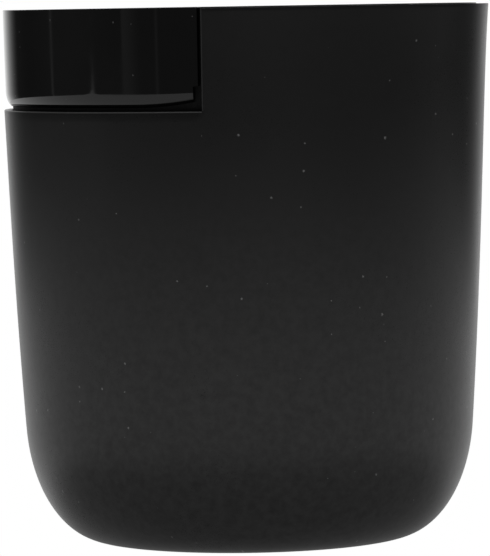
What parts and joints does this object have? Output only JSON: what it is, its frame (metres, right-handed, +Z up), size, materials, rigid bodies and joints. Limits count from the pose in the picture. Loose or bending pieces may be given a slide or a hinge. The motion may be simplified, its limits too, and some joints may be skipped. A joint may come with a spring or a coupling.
{
  "type": "espresso knock box",
  "caption": "Round tapered knock box: soft outer boot cut down on one side, gloss lift-out inner tub, and a rubber-sleeved lift-out knock bar across its mouth.",
  "frame": {"origin": "centre of the flat face it stands on, under the middle of the tub", "axes": "+Z up; the knock bar runs along Y; the boot's cut-down side, which bares the tub's gloss band, faces -X"},
  "size_m": [0.1389, 0.1404, 0.153],
  "materials": {
    "boot_rubber": "matt soft-touch, fine grain",
    "tub_gloss": "polished black",
    "bar_steel": "brushed",
    "sleeve_rubber": "matt moulded rubber",
    "plug_plastic": "fine texture",
    "screw_steel": "turned, plain",
    "liner_rubber": "matt moulded rubber",
    "pad_rubber": "matt, non-slip"
  },
  "bodies": {
    "boot": {"outer_boot": "boot_rubber", "base_pad": "pad_rubber"},
    "tub": {"inner_tub": "tub_gloss", "socket_liner_front": "liner_rubber", "socket_liner_back": "liner_rubber"},
    "knock_bar": {"bar_core": "bar_steel", "bar_sleeve": "sleeve_rubber", "bar_plug_front": "plug_plastic", "bar_plug_back": "plug_plastic", "plug_screws": "screw_steel"}
  },
  "joints": [
    {"name": "tub_lift", "type": "slide", "parent": "boot", "child": "tub", "axis": [0, 0, 1], "range_m": [0, 0.16]},
    {"name": "bar_lift", "type": "slide", "parent": "tub", "child": "knock_bar", "axis": [0, 0, 1], "range_m": [0, 0.045]}
  ]
}
